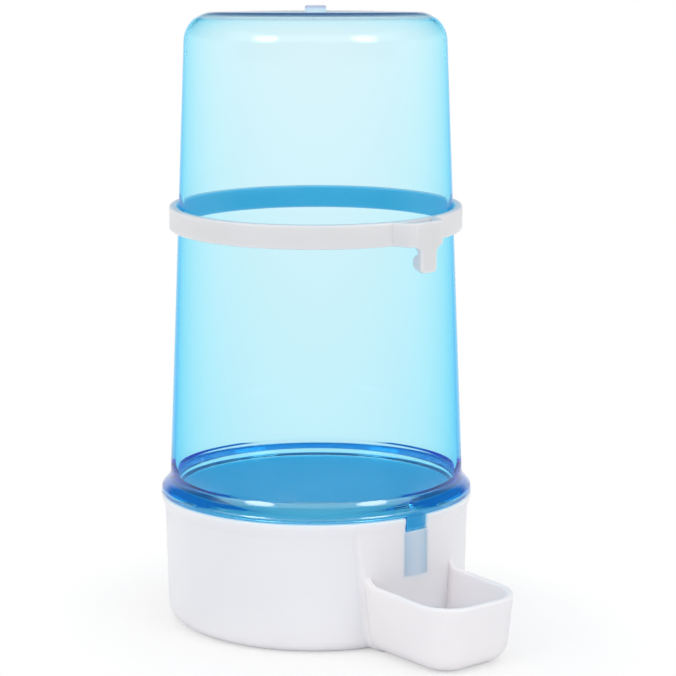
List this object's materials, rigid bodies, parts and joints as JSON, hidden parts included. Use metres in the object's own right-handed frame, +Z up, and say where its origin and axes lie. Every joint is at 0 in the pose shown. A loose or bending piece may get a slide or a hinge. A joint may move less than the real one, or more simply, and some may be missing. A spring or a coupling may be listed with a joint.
{
  "type": "bird water fountain",
  "caption": "Hanging siphon drinker for cage birds: a clear tapered tank stands upside down in a white cup with a drinking spout, and a turnable ring on the tank has a wire hook.",
  "frame": {"origin": "on the flat underside of the drinking base, on the axis of the cup and the tank", "axes": "+Z up along the tank's axis, the drinking spout points to -Y, +X to the right when the spout faces the viewer"},
  "size_m": [0.064, 0.0844, 0.125],
  "materials": {
    "base_plastic": "milky white, satin",
    "tank_plastic": "clear blue, polished",
    "ring_plastic": "milky white, satin"
  },
  "bodies": {
    "base": {"drinking_base": "base_plastic"},
    "tank": {"reservoir_tank": "tank_plastic"},
    "ring": {"hanging_ring": "ring_plastic"}
  },
  "joints": [
    {"name": "tank_lift", "type": "slide", "parent": "base", "child": "tank", "axis": [0, 0, 1], "range_m": [0, 0.017]},
    {"name": "ring_turn", "type": "hinge", "parent": "tank", "child": "ring", "pos_m": [0, 0, 0.0829], "axis": [0, 0, 1], "continuous": true}
  ]
}
